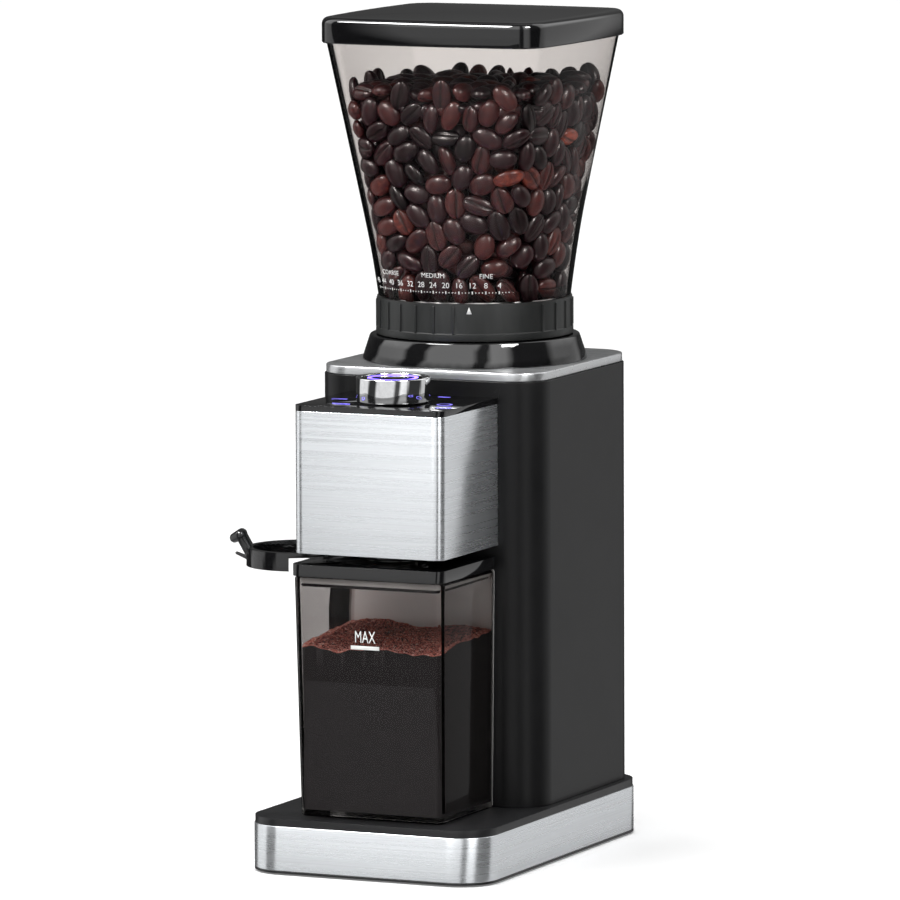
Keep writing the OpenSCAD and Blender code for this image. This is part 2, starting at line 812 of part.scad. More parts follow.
// Slice of the bin, inset from its outer face; share is 0 at the foot and 1 at the rim.
module bin_slice(share, inset) {
  shrink = bin_draft * (1 - share);
  y0 = bin_front + 2 * shrink + inset;
  y1 = bin_back - inset;
  translate([0, (y0 + y1) / 2])
    rounded(2 * (bin_half - shrink - inset), y1 - y0, max(bin_r - inset, 1.6), $fn = 32);
}

module grounds_bin() {
  color("#8c8680", 0.4) difference() {
    hull() {
      translate([0, 0, bin_z0]) linear_extrude(0.1) bin_slice(0, 0);
      translate([0, 0, bin_z1 - 0.1]) linear_extrude(0.1) bin_slice(1, 0);
    }
    hull() {
      translate([0, 0, bin_z0 + 3]) linear_extrude(0.1) bin_slice(0, bin_wall);
      translate([0, 0, bin_z1 + 1]) linear_extrude(0.1) bin_slice(1, bin_wall);
    }
  }
}

module bin_lid() {
  cy = (bin_front + bin_back) / 2;
  d = bin_back - bin_front;
  color("#222222") difference() {
    union() {
      block(2 * bin_half + 1, d + 1.4, 5, cy - 0.7, bin_z1 + 0.5, bin_lid_z1);
      block(2 * (bin_half - bin_wall) - 1.6, d - 2 * bin_wall - 1.6, 2.2, cy, 129.5, bin_z1 + 0.6);
    }
    block(2 * (bin_half - bin_wall) - 5, d - 2 * bin_wall - 5, 2, cy, 129, bin_lid_z1 - 2);
    translate([0, spout_y, 120]) cylinder(r = 12.5, h = 40);
  }
}

module bin_lid_seal() {
  cy = (bin_front + bin_back) / 2;
  d = bin_back - bin_front;
  color("#cfcfcc") difference() {
    block(2 * (bin_half - bin_wall) - 0.4, d - 2 * bin_wall - 0.4, 2.4, cy, 131, 133);
    block(2 * (bin_half - bin_wall) - 1.6, d - 2 * bin_wall - 1.6, 2.2, cy, 130, 134);
  }
}

// ---------- portafilter holder ----------

module cradle(z0, z1) {
  translate([cradle_x, spout_y, 0]) tube(cradle_r, cradle_r - cradle_t, z0, z1);
}

module portafilter_holder() {
  color("#0d0d0d") {
    difference() {
      union() {
        translate([0, spout_y, holder_z0]) cylinder(r = 17, h = 2.3);
        box([-30, spout_y - 9, holder_z0], [-10, spout_y + 9, holder_z1]);
      }
      translate([0, spout_y, 130]) cylinder(r = 13.55, h = 20);
    }
    cradle(holder_z0, holder_z1);
    difference() {
      cradle(135, holder_z1);
      translate([0, spout_y, 130]) cylinder(r = deep_from, h = holder_z0 - 130);
    }
    // Upturned thumb hook and the small catch under it
    translate([cradle_x, spout_y, 0]) rotate(198) {
      hull() {
        translate([23, -3.6, 139]) cylinder(r = 1.3, h = 4, $fn = 24);
        translate([23, 3.6, 139]) cylinder(r = 1.3, h = 4, $fn = 24);
        translate([27, -2.4, 148.4]) sphere(r = 2.3, $fn = 24);
        translate([27, 2.4, 148.4]) sphere(r = 2.3, $fn = 24);
      }
      hull() {
        translate([27, -2.6, 148.4]) sphere(r = 2.5, $fn = 24);
        translate([30, 0, 146.8]) sphere(r = 2.2, $fn = 24);
        translate([27, 2.6, 148.4]) sphere(r = 2.5, $fn = 24);
      }
      hull() {
        box([22.6, -1.2, 137], [24, 1.2, 138.2]);
        translate([29, 0, 140]) sphere(r = 0.7, $fn = 16);
      }
    }
  }
}

rubber_feet();
base_plate();
base_screws();
base_band();
base_deck();
column_shell();
rear_cover();
rear_screws();
cord_inlet();
top_plate();
head_wrap();
head_body();
head_panel();
head_screws();
display_board();
dial_ring();
dial_hub();
start_button();
button_light_ring();
collar_skirt();
mill_housing();
adjuster_sleeve();
grind_ring();
burr_carrier();
ring_burr();
ring_burr_screws();
cone_burr();
burr_bolt();
impeller();
burr_shaft();
output_gear();
spindle_bearings();
chamber_seal();
gearbox_case();
gearbox_cover();
gearbox_screws();
idler_gear();
idler_pin();
motor_can();
motor_magnets();
motor_end_cap();
motor_rotor();
motor_pinion();
motor_bearings();
motor_brushes();
motor_cradle();
motor_cushion();
chute();
spout();
power_board();
bin_sensor();
motor_leads();
hopper();
hopper_base();
hopper_lid();
lid_seal();
grounds_bin();
bin_lid();
bin_lid_seal();
portafilter_holder();
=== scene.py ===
import json
import math
import bpy
import numpy as np
from mathutils import Matrix, Vector, noise


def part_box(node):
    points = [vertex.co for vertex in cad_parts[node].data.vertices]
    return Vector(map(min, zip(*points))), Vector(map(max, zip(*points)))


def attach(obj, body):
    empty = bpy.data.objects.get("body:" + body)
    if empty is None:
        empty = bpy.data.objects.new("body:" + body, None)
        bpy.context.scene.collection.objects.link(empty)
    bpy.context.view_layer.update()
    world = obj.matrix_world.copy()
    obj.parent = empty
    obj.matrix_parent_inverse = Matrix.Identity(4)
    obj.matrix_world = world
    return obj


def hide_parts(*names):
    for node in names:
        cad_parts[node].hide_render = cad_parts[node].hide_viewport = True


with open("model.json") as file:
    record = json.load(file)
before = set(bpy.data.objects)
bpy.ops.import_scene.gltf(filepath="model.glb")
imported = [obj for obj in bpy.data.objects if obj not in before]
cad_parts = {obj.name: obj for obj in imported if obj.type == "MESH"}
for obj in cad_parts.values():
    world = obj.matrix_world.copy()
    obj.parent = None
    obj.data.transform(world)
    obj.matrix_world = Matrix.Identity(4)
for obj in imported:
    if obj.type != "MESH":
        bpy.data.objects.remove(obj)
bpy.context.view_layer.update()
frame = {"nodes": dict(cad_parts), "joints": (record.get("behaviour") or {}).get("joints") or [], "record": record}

MM = 0.001
NODES = frame["nodes"]
JOINTS = {joint["name"]: joint for joint in frame["joints"]}

# ---------- places and sizes, from the frame ----------

HOPPER_LOW, HOPPER_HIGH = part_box("hopper")
LID_LOW, LID_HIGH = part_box("hopper_lid")
BIN_LOW, BIN_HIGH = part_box("grounds_bin")
RING_LOW, RING_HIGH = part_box("grind_ring")
PANEL_LOW, PANEL_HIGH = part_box("head_panel")
DIAL_LOW, DIAL_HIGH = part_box("dial_ring")
MILL_Y = (HOPPER_LOW.y + HOPPER_HIGH.y) / 2
RIM_HALF = HOPPER_HIGH.x
LID_HALF = LID_HIGH.x
FOOT_R = 43.8 * MM
SIDE_BOW = 500 * MM
RIM_CORNER = 11 * MM
LID_CORNER = 13 * MM
HOPPER_WALL = 2.2 * MM
BIN_WALL = 2.2 * MM
BIN_DRAFT = 1.4 * MM
BIN_CORNER = 4 * MM
BIN_FLOOR = 3 * MM
POINTER_DEG = -68.7
BEAN_TOP = HOPPER_LOW.z + 0.81 * (HOPPER_HIGH.z - HOPPER_LOW.z)


# ---------- meshes ----------

def build(name, vertices, faces, look, body, sharp=35):
    """A new piece from points and faces, smooth except at edges sharper than the angle."""
    mesh = bpy.data.meshes.new(name)
    mesh.from_pydata([tuple(v) for v in vertices], [], faces)
    mesh.validate()
    mesh.shade_smooth()
    mesh.set_sharp_from_angle(angle=math.radians(sharp))
    mesh.materials.append(look)
    piece = bpy.data.objects.new(name, mesh)
    bpy.context.scene.collection.objects.link(piece)
    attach(piece, body)
    return piece


def skin(count, rings, closed=False, start=0):
    """Quads between rings of points; the last ring joins the first when closed."""
    faces = []
    for r in range(rings if closed else rings - 1):
        low, high = start + r * count, start + (r + 1) % rings * count
        for i in range(count):
            j = (i + 1) % count
            faces.append((low + i, low + j, high + j, high + i))
    return faces


def square_radius(degrees, half, corner):
    """Polar radius of a square with bowed sides and round corners."""
    fold = degrees % 90
    a = math.radians(90 - fold if fold > 45 else fold)
    p, q = SIDE_BOW - half, SIDE_BOW - corner
    c = (-p + math.sqrt(2 * q * q - p * p)) / 2
    t = math.atan2(c, c - half + SIDE_BOW)
    if a <= math.atan2(SIDE_BOW * math.sin(t), half - SIDE_BOW + SIDE_BOW * math.cos(t)):
        return -p * math.cos(a) + math.sqrt(SIDE_BOW ** 2 - (p * math.sin(a)) ** 2)
    along, across = c * (math.cos(a) + math.sin(a)), c * (math.sin(a) - math.cos(a))
    return along + math.sqrt(corner ** 2 - across ** 2)


QUARTER = [*range(0, 33, 3), *range(33, 57), *range(57, 90, 3)]
LOFT_DEG = [q + a for q in (0, 90, 180, 270) for a in QUARTER]
SQUARE_RIM = {a: square_radius(a, RIM_HALF, RIM_CORNER) for a in LOFT_DEG}
RIM_ANGLES = np.array(LOFT_DEG + [360.0])
RIM_RADII = np.array([SQUARE_RIM[a] for a in LOFT_DEG] + [SQUARE_RIM[0]])


def hopper_radius(degrees, z):
    """Radius of the hopper's outer face about the mill axis; takes numbers or arrays."""
    share = np.clip((z - HOPPER_LOW.z) / (HOPPER_HIGH.z - HOPPER_LOW.z), 0, 1)
    return (1 - share) * FOOT_R + share * np.interp(np.mod(degrees, 360), RIM_ANGLES, RIM_RADII)


def polar(radius, degrees, z):
    a = math.radians(degrees)
    return (radius * math.cos(a), MILL_Y + radius * math.sin(a), z)


def hopper_ring(z, inset):
    return [polar(float(hopper_radius(a, z)) - inset, a, z) for a in LOFT_DEG]


def square_ring(z, half, corner):
    return [polar(square_radius(a, half, corner), a, z) for a in LOFT_DEG]


def round_corners(x0, x1, y0, y1, z, radius, steps=8):
    """Ring of a rectangle with round corners, anticlockwise from above."""
    points = []
    for cx, cy, first in ((x1 - radius, y1 - radius, 0), (x0 + radius, y1 - radius, 90),
                          (x0 + radius, y0 + radius, 180), (x1 - radius, y0 + radius, 270)):
        for k in range(steps + 1):
            a = math.radians(first + 90 * k / steps)
            points.append((cx + radius * math.cos(a), cy + radius * math.sin(a), z))
    return points


def bin_ring(z, inset, radius=None):
    """Ring of the bin's drafted wall at a height."""
    share = (z - BIN_LOW.z) / (BIN_HIGH.z - BIN_LOW.z)
    shrink = BIN_DRAFT * (1 - min(max(share, 0), 1))
    half = BIN_HIGH.x - shrink - inset
    corner = max(BIN_CORNER - inset, 1.6 * MM) if radius is None else radius
    return round_corners(-half, half, BIN_LOW.y + 2 * shrink + inset, BIN_HIGH.y - inset, z, corner)


# ---------- looks ----------

class Look:
    """A Principled material built up from procedural textures in the object's own space."""

    def __init__(self, name, colour, roughness, metallic=0.0, **sockets):
        self.material = bpy.data.materials.new(name)
        self.material.use_nodes = True
        self.tree = self.material.node_tree
        self.shader = self.tree.nodes["Principled BSDF"]
        self.normal = None
        self.shader.inputs["Base Color"].default_value = (*colour, 1)
        self.shader.inputs["Roughness"].default_value = roughness
        self.shader.inputs["Metallic"].default_value = metallic
        for socket, value in sockets.items():
            self.shader.inputs[socket.replace("_", " ")].default_value = value

    def add(self, kind, sockets=(), **settings):
        made = self.tree.nodes.new("ShaderNode" + kind)
        for key, value in settings.items():
            setattr(made, key, value)
        for key, value in dict(sockets).items():
            if isinstance(value, bpy.types.NodeSocket):
                self.tree.links.new(value, made.inputs[key])
            else:
                made.inputs[key].default_value = value
        return made

    def noise(self, stretch, detail=3.0, rough=0.6):
        """Noise whose features are about 1 / stretch metres along each axis."""
        place = self.add("TexCoord").outputs["Object"]
        mapped = self.add("Mapping", {"Vector": place, "Scale": stretch})
        sockets = {"Vector": mapped.outputs[0], "Scale": 1.0, "Detail": detail, "Roughness": rough}
        return self.add("TexNoise", sockets).outputs[0]

    def cells(self, size):
        place = self.add("TexCoord").outputs["Object"]
        made = self.add("TexVoronoi", {"Vector": place, "Scale": 1 / size})
        return made.outputs["Color"]

    def spread(self, texture, low, high, first=0.3, last=0.7):
        """The texture's middle range spread over low to high."""
        made = self.add("MapRange", {0: texture, 1: first, 2: last, 3: low, 4: high})
        return made.outputs[0]

    def rough(self, texture, low, high):
        self.tree.links.new(self.spread(texture, low, high), self.shader.inputs["Roughness"])
        return self

    def colours(self, texture, *stops):
        """Base colour from a ramp of (place, colour) stops over the texture."""
        ramp = self.add("ValToRGB", {0: texture})
        band = ramp.color_ramp
        while len(band.elements) < len(stops):
            band.elements.new(0.5)
        for element, (place, colour) in zip(band.elements, stops):
            element.position = place
            element.color = (*colour, 1)
        self.tree.links.new(ramp.outputs[0], self.shader.inputs["Base Color"])
        return ramp.outputs[0]

    def bump(self, texture, height, strength=1.0):
        sockets = {"Height": texture, "Distance": height, "Strength": strength}
        if self.normal:
            sockets["Normal"] = self.normal
        self.normal = self.add("Bump", sockets).outputs[0]
        self.tree.links.new(self.normal, self.shader.inputs["Normal"])
        return self


def brushed(name, tone, low, high, stretch, anisotropy):
    """Steel brushed along the axes that stretch least; its highlights run across the brushing."""
    look = Look(name, tone, low, 0.88, Anisotropic=anisotropy, Anisotropic_Rotation=0.25)
    fine = look.noise(stretch, 3.0, 0.6)
    long_lines = look.noise([s * 0.4 for s in stretch], 2.0)
    dark, light = [0.93 * t for t in tone], [min(1.0, 1.04 * t) for t in tone]
    look.colours(fine, (0.3, dark), (0.5, tone), (0.7, light))
    look.rough(long_lines, low, high)
    look.bump(fine, 0.004 * MM, 0.3)
    turn = look.add("Tangent", direction_type="RADIAL", axis="Z")
    look.tree.links.new(turn.outputs[0], look.shader.inputs["Tangent"])
    return look.material


def moulded(name, colour, low, high, grain=0.5, height=0.02, **sockets):
    """Moulded or painted surface: a fine grain, and a slow change of gloss as on handled plastic."""
    look = Look(name, colour, low, **sockets)
    slow = look.noise((25, 25, 25), 3.0)
    look.colours(slow, (0.3, [0.85 * c for c in colour]), (0.7, [1.15 * c for c in colour]))
    look.rough(slow, low, high)
    look.bump(look.noise([1 / (grain * MM)] * 3, 2.0), height * MM, 0.4)
    return look.material


def metal(name, tone, low, high, grain=0.4, height=0.02):
    look = Look(name, tone, low, 1.0)
    fine = look.noise([1 / (grain * MM)] * 3, 3.0)
    look.colours(fine, (0.3, [0.85 * t for t in tone]), (0.7, tone))
    look.rough(look.noise((90, 90, 90)), low, high)
    look.bump(fine, height * MM, 0.4)
    return look.material


def smoked(name, clear, edge, slant, shine_share, haze=None):
    """Clear tinted plastic that bends light: darker where the wall is seen edge on, with a sharp gloss.
    A higher slant keeps the tint closer to the edges. Only sight lines bend and take that tint; light on
    its way in or out passes straight.
    haze is (share, from, to): a bloom that comes in between two places along Y and stays beyond them."""
    look = Look(name, clear, 0.05)
    facing = look.add("LayerWeight", {"Blend": 0.5}).outputs["Facing"]
    steep = look.add("Math", {0: facing, 1: 5.0}, operation="POWER").outputs[0]
    depth = look.add("Math", {0: facing, 1: slant}, operation="POWER").outputs[0]
    tint = look.add("Mix", {0: depth, 6: (*clear, 1), 7: (*edge, 1)}, data_type="RGBA").outputs[2]
    straight = look.add("BsdfTransparent", {"Color": (*clear, 1)}).outputs[0]
    bent = look.add("BsdfRefraction", {"Color": tint, "Roughness": 0.0, "IOR": 1.49}).outputs[0]
    path = look.add("LightPath").outputs
    kinds = {0: path["Is Camera Ray"], 1: path["Is Transmission Ray"]}
    sight = look.add("Math", kinds, operation="MAXIMUM").outputs[0]
    through = look.add("MixShader", {0: sight, 1: straight, 2: bent}).outputs[0]
    if haze:
        place = look.add("TexCoord").outputs["Object"]
        along = look.add("SeparateXYZ", {0: place}).outputs["Y"]
        cloud = look.add("MapRange", {0: along, 1: haze[1], 2: haze[2], 3: 0.0, 4: haze[0]}).outputs[0]
        bloom = look.add("BsdfDiffuse", {"Color": (0.90, 0.895, 0.88, 1)}).outputs[0]
        through = look.add("MixShader", {0: cloud, 1: through, 2: bloom}).outputs[0]
    wear = look.spread(look.noise((60, 60, 60)), 0.03, 0.07)
    shine = look.add("BsdfGlossy", {"Color": (1, 1, 1, 1), "Roughness": wear}).outputs[0]
    share = look.add("MapRange", {0: steep, 1: 0.0, 2: 1.0, 3: shine_share, 4: 0.35}).outputs[0]
    mixed = look.add("MixShader", {0: share, 1: through, 2: shine}).outputs[0]
    look.tree.links.new(mixed, look.tree.nodes["Material Output"].inputs["Surface"])
    look.tree.nodes.remove(look.shader)
    return look.material


def glowing(name, colour, strength):
    """Lit diffuser: brighter over each lamp behind it."""
    look = Look(name, [0.2 * c for c in colour], 0.3, Emission_Strength=strength)
    lamps = look.noise((130, 130, 130), 1.0)
    ramp = look.add("ValToRGB", {0: lamps})
    ramp.color_ramp.elements[0].position = 0.35
    ramp.color_ramp.elements[0].color = (*[0.35 * c for c in colour], 1)
    ramp.color_ramp.elements[1].position = 0.62
    ramp.color_ramp.elements[1].color = (*colour, 1)
    look.tree.links.new(ramp.outputs[0], look.shader.inputs["Emission Color"])
    return look.material


def circuit(name):
    look = Look(name, (0.02, 0.16, 0.07), 0.3)
    look.colours(look.cells(2.5 * MM), (0.2, (0.01, 0.10, 0.04)), (0.8, (0.04, 0.26, 0.11)))
    look.bump(look.noise((700, 700, 700)), 0.02 * MM)
    return look.material


def windings(name):
    look = Look(name, (0.55, 0.25, 0.1), 0.3, 0.7)
    strands = look.noise((1800, 1800, 40), 2.0)
    look.colours(strands, (0.35, (0.20, 0.08, 0.03)), (0.65, (0.75, 0.36, 0.16)))
    look.bump(strands, 0.1 * MM)
    return look.material


def roasted(name):
    """Roasted beans: a tone for each bean, mottling, and painted shade that darkens the crease and the tips."""
    look = Look(name, (0.05, 0.016, 0.014), 0.35,
                Specular_IOR_Level=0.05, Coat_Weight=0.75, Coat_Roughness=0.30)
    tone = look.add("Attribute", attribute_name="tone").outputs["Fac"]
    crease = look.add("Attribute", attribute_name="crease").outputs["Fac"]
    mottle = look.spread(look.noise((380, 380, 380), 3.0), -0.12, 0.12)
    total = look.add("Math", {0: tone, 1: mottle}, operation="ADD").outputs[0]
    body = look.colours(total, (0.0, (0.006, 0.0022, 0.0035)), (0.45, (0.034, 0.009, 0.013)),
                        (0.8, (0.13, 0.028, 0.024)), (1.0, (0.40, 0.08, 0.045)))
    # Painted shade: the crease and the tips take a colour darker than the bean.
    crease_shade_colour = (0.012, 0.005, 0.005, 1)
    mixed = look.add("Mix", {0: crease, 6: body, 7: crease_shade_colour}, data_type="RGBA").outputs[2]
    look.tree.links.new(mixed, look.shader.inputs["Base Color"])
    look.rough(look.noise((300, 300, 300)), 0.25, 0.42)
    look.bump(look.noise((330, 330, 330), 3.0), 0.20 * MM, 0.45)
    return look.material


def ground(name):
    """Ground coffee: dark and packed at the sides; faces that look up take rust and brown grains, raised bright as
    painted light on the top.
    """
    look = Look(name, (0.05, 0.02, 0.013), 0.8)
    grain = look.cells(0.7 * MM)
    packed = look.add("ValToRGB", {0: grain})
    packed.color_ramp.elements[0].color = (0.0022, 0.0013, 0.0018, 1)
    packed.color_ramp.elements[1].color = (0.0085, 0.0052, 0.0068, 1)
    # Painted light: the top's rust and brown grains are made much brighter than the coffee's own colour.
    top_grains_painted_lit = look.colours(grain, (0.15, (0.20, 0.045, 0.035)), (0.45, (0.58, 0.145, 0.105)),
                         (0.75, (0.84, 0.30, 0.22)), (0.95, (0.95, 0.70, 0.58)))
    up = look.add("SeparateXYZ", {0: look.add("NewGeometry").outputs["True Normal"]}).outputs["Z"]
    # Faces that look up take the painted-light top colour.
    painted_light_top_mask = look.add("MapRange", {0: up, 1: 0.15, 2: 0.4}).outputs[0]
    mixed = look.add("Mix", {0: painted_light_top_mask, 6: packed.outputs[0], 7: top_grains_painted_lit}, data_type="RGBA").outputs[2]
    look.tree.links.new(mixed, look.shader.inputs["Base Color"])
    look.bump(look.noise((1500, 1500, 1500), 3.0), 0.25 * MM, 0.6)
    return look.material


LOOKS = {
    "foot_rubber": moulded("foot_rubber", (0.015, 0.015, 0.015), 0.7, 0.85, 0.8, 0.05),
    "black_satin": moulded("black_satin", (0.009, 0.009, 0.010), 0.30, 0.42, 0.35, 0.02),
    "dark_screws": metal("dark_screws", (0.05, 0.05, 0.055), 0.3, 0.5),
    "screws": metal("screws", (0.62, 0.62, 0.63), 0.2, 0.35),
    "brushed_steel": brushed("brushed_steel", (0.80, 0.825, 0.85), 0.25, 0.31, (14, 14, 1900), 0.8),
    "column_paint": moulded("column_paint", (0.009, 0.009, 0.0095), 0.30, 0.36, 0.3, 0.008,
                            Specular_IOR_Level=0.19),
    "satin_steel": brushed("satin_steel", (0.62, 0.63, 0.64), 0.26, 0.38, (30, 1700, 1700), 0.4),
    "black_gloss": moulded("black_gloss", (0.004, 0.004, 0.0045), 0.03, 0.06, 3.0, 0.003, IOR=1.65),
    "ring_plastic": moulded("ring_plastic", (0.015, 0.016, 0.0155), 0.34, 0.46, 0.3, 0.02,
                            Specular_IOR_Level=0.35),
    "chrome": metal("chrome", (0.90, 0.91, 0.92), 0.03, 0.07, 3.0, 0.0005),
    "light_ring": glowing("light_ring", (0.14, 0.09, 1.0), 7.0),
    "circuit_board": circuit("circuit_board"),
    "switch_black": moulded("switch_black", (0.03, 0.03, 0.032), 0.4, 0.5),
    "cast_alloy": metal("cast_alloy", (0.52, 0.53, 0.54), 0.45, 0.6, 0.5, 0.06),
    "burr_steel": metal("burr_steel", (0.42, 0.42, 0.43), 0.2, 0.35, 0.2),
    "shaft_steel": metal("shaft_steel", (0.62, 0.62, 0.64), 0.15, 0.25, 0.2, 0.01),
    "nylon": moulded("nylon", (0.62, 0.57, 0.45), 0.4, 0.5),
    "felt": moulded("felt", (0.12, 0.10, 0.08), 0.9, 1.0, 0.25, 0.2),
    "brass": metal("brass", (0.72, 0.50, 0.20), 0.2, 0.35),
    "copper_windings": windings("copper_windings"),
    "wire_cover": moulded("wire_cover", (0.25, 0.02, 0.02), 0.4, 0.5),
    "smoked_clear": smoked("smoked_clear", (0.90, 0.885, 0.875), (0.07, 0.06, 0.06), 3.0, 0.005),
    "smoked_bin": smoked("smoked_bin", (0.82, 0.805, 0.80), (0.12, 0.115, 0.11), 1.2, 0.004,
                         (0.95, BIN_HIGH.y - 3.5 * MM, BIN_HIGH.y - 3 * MM)),
    "silicone": moulded("silicone", (0.45, 0.45, 0.44), 0.4, 0.55),
}
BEANS = roasted("roasted_beans")
GROUNDS = ground("ground_coffee")
PRINT = moulded("white_print", (0.82, 0.82, 0.80), 0.45, 0.6, 0.3, 0.01)
SLOT_OF = {part["node"]: part["material_slot"] for part in frame["record"]["subparts"]}


def finish_nodes():
    """Gives every CAD node its look and breaks its edges a little, as on the real piece."""
    edges = {
        "base_band": 0.35, "base_deck": 0.9, "base_plate": 0.3, "column_shell": 0.4, "top_plate": 0.7,
        "head_wrap": 0.3, "head_body": 0.3, "head_panel": 0.5, "rear_cover": 0.4, "cord_inlet": 0.4,
        "rear_screws": 0.2, "dial_ring": 0.45, "dial_hub": 0.2, "start_button": 0.4,
        "button_light_ring": 0.1, "collar_skirt": 0.6, "grind_ring": 0.3, "spout": 0.4,
        "portafilter_holder": 0.4, "bin_lid": 0.8, "rubber_feet": 0.5,
    }
    for name, piece in NODES.items():
        piece.material_slots[0].material = LOOKS[SLOT_OF[name]]
        piece.data.shade_smooth()
        weld = piece.modifiers.new("weld", "WELD")
        weld.merge_threshold = 0.002 * MM
        bevel = piece.modifiers.new("edges", "BEVEL")
        bevel.width = edges.get(name, 0.1) * MM
        bevel.segments = 3 if name in edges else 1
        bevel.limit_method = "ANGLE"
        bevel.angle_limit = math.radians(40)
        bevel.use_clamp_overlap = True
        bevel.harden_normals = True
        if name in ("rear_cover", "column_shell"):
            bevel.harden_normals = False
            flat = piece.modifiers.new("flat_faces", "WEIGHTED_NORMAL")
            flat.mode = "FACE_AREA"
            flat.weight = 100
            flat.keep_sharp = False


# ---------- hopper, lid and beans ----------

def make_hopper():
    """Clear hopper: a round foot that opens into a square rim, with both edges rounded."""
    steps, lip = 24, HOPPER_WALL / 2
    span = HOPPER_HIGH.z - HOPPER_LOW.z
    levels = [HOPPER_LOW.z + span * k / steps for k in range(steps + 1)]
    outer = [hopper_ring(z, 0) for z in levels[:-1]]
    round_rim = [hopper_ring(levels[-1] - lip * (1 - math.sin(a)), lip * (1 - math.cos(a)))
                 for a in np.linspace(0, math.pi, 7)]
    inner = [hopper_ring(z, HOPPER_WALL) for z in levels[-2::-1]]
    rings = outer + round_rim + inner
    points = [p for ring in rings for p in ring]
    piece = build("hopper_shell", points, skin(len(LOFT_DEG), len(rings), closed=True),
                  LOOKS["smoked_clear"], "hopper", 50)
    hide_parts("hopper")


def make_lid():
    """Gloss lid: a low dome with a rolled edge, a skirt over the rim and a plug inside it."""
    top, low = LID_HIGH.z, LID_LOW.z
    plug_low = low + 0.1 * MM
    rim = HOPPER_HIGH.z + 0.2 * MM
    skirt = low
    edge = 3.2 * MM
    shoulder = top - 4.0 * MM
    rings = [square_ring(rim, RIM_HALF + 0.2 * MM, RIM_CORNER),
             square_ring(skirt + 0.3 * MM, RIM_HALF + 0.2 * MM, RIM_CORNER),
             square_ring(skirt, RIM_HALF + 0.6 * MM, RIM_CORNER),
             square_ring(skirt, LID_HALF - 0.5 * MM, LID_CORNER)]
    rings += [square_ring(skirt + 0.5 * MM, LID_HALF, LID_CORNER)]
    for a in np.linspace(0, math.radians(78), 8):
        inset = edge * (1 - math.cos(a))
        rings.append(square_ring(shoulder + edge * math.sin(a), LID_HALF - inset, LID_CORNER - inset))
    rolled_z, rolled_half = shoulder + edge * math.sin(math.radians(78)), LID_HALF - inset
    for share in (0.94, 0.85, 0.7, 0.5, 0.3, 0.12):
        z = top - (top - rolled_z) * share ** 2
        rings.append(square_ring(z, rolled_half * share, max(LID_CORNER * share, 1 * MM)))
    count = len(LOFT_DEG)
    points = [p for ring in rings for p in ring]
    faces = skin(count, len(rings))
    faces.append(tuple(range((len(rings) - 1) * count, len(rings) * count)))
    faces.append(tuple(range(count - 1, -1, -1)))
    plug_out, plug_in = RIM_HALF - 3.8 * MM, RIM_HALF - 5.4 * MM
    start = len(points)
    plug = ((plug_low, plug_out, 9), (rim, plug_out, 9), (rim, plug_in, 8), (plug_low, plug_in, 8))
    for z, half, corner in plug:
        points += square_ring(z, half, corner * MM)
    faces += skin(count, 4, closed=True, start=start)
    piece = build("lid_shell", points, faces, LOOKS["black_gloss"], "hopper_lid", 50)
    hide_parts("hopper_lid")


def bean_form(around, rings):
    """One bean, half extents 1, with a domed back and a creased face: its points, faces and crease marks."""
    back = [(math.cos(a), math.sin(a)) for a in np.linspace(0, math.pi, around)]
    flat = [(-0.86, -0.34), (-0.62, -0.50), (-0.36, -0.58), (-0.13, -0.57), (0.0, -0.30),
            (0.13, -0.57), (0.36, -0.58), (0.62, -0.50), (0.86, -0.34)]
    section = back + flat
    # Crease marks: where painted shade darkens the bean, strongest at the bottom of the crease.
    marks = [0.0] * len(back) + [0.0, 0.0, 0.0, 0.25, 1.0, 0.25, 0.0, 0.0, 0.0]
    points, crease = [], []
    for k in range(1, rings):
        u = math.pi * k / rings
        width = math.sin(u) ** 0.9
        sway = 0.07 * math.sin(2 * u)
        for (y, z), mark in zip(section, marks):
            points.append((math.cos(u), y * width + sway * (1 - y * y), z * width))
            crease.append(mark)
    count = len(section)
    faces = skin(count, rings - 1)
    first, last = len(points), len(points) + 1
    points += [(1.0, 0.0, 0.0), (-1.0, 0.0, 0.0)]
    # The tips take a little of the painted shade too.
    crease += [0.3, 0.3]
    for i in range(count):
        j = (i + 1) % count
        faces.append((first, j, i))
        faces.append((last, (rings - 2) * count + i, (rings - 2) * count + j))
    return np.array(points), np.array(faces, dtype=object), np.array(crease)


def wall_at(points):
    """Radius of the hopper's outer face at each point, the outward direction there, and the wall's normal."""
    x, y = points[:, 0], points[:, 1] - MILL_Y
    degrees, z = np.degrees(np.arctan2(y, x)), points[:, 2]
    radius = hopper_radius(degrees, z)
    turn = (hopper_radius(degrees + 1, z) - hopper_radius(degrees - 1, z)) / math.radians(2) / radius
    rise = (hopper_radius(degrees, z + MM) - hopper_radius(degrees, z - MM)) / (2 * MM)
    c, s = np.cos(np.radians(degrees)), np.sin(np.radians(degrees))
    out = np.stack([c, s, 0 * c], 1)
    normal = np.stack([c + turn * s, s - turn * c, -rise], 1)
    return radius, out, normal / np.linalg.norm(normal, axis=1)[:, None]


def bean_top(points):
    """Uneven top of the beans at each point."""
    uneven = np.array([noise.noise(Vector((x * 38, y * 38, 3.1))) for x, y in points[:, :2]])
    return BEAN_TOP + 3.5 * MM * uneven


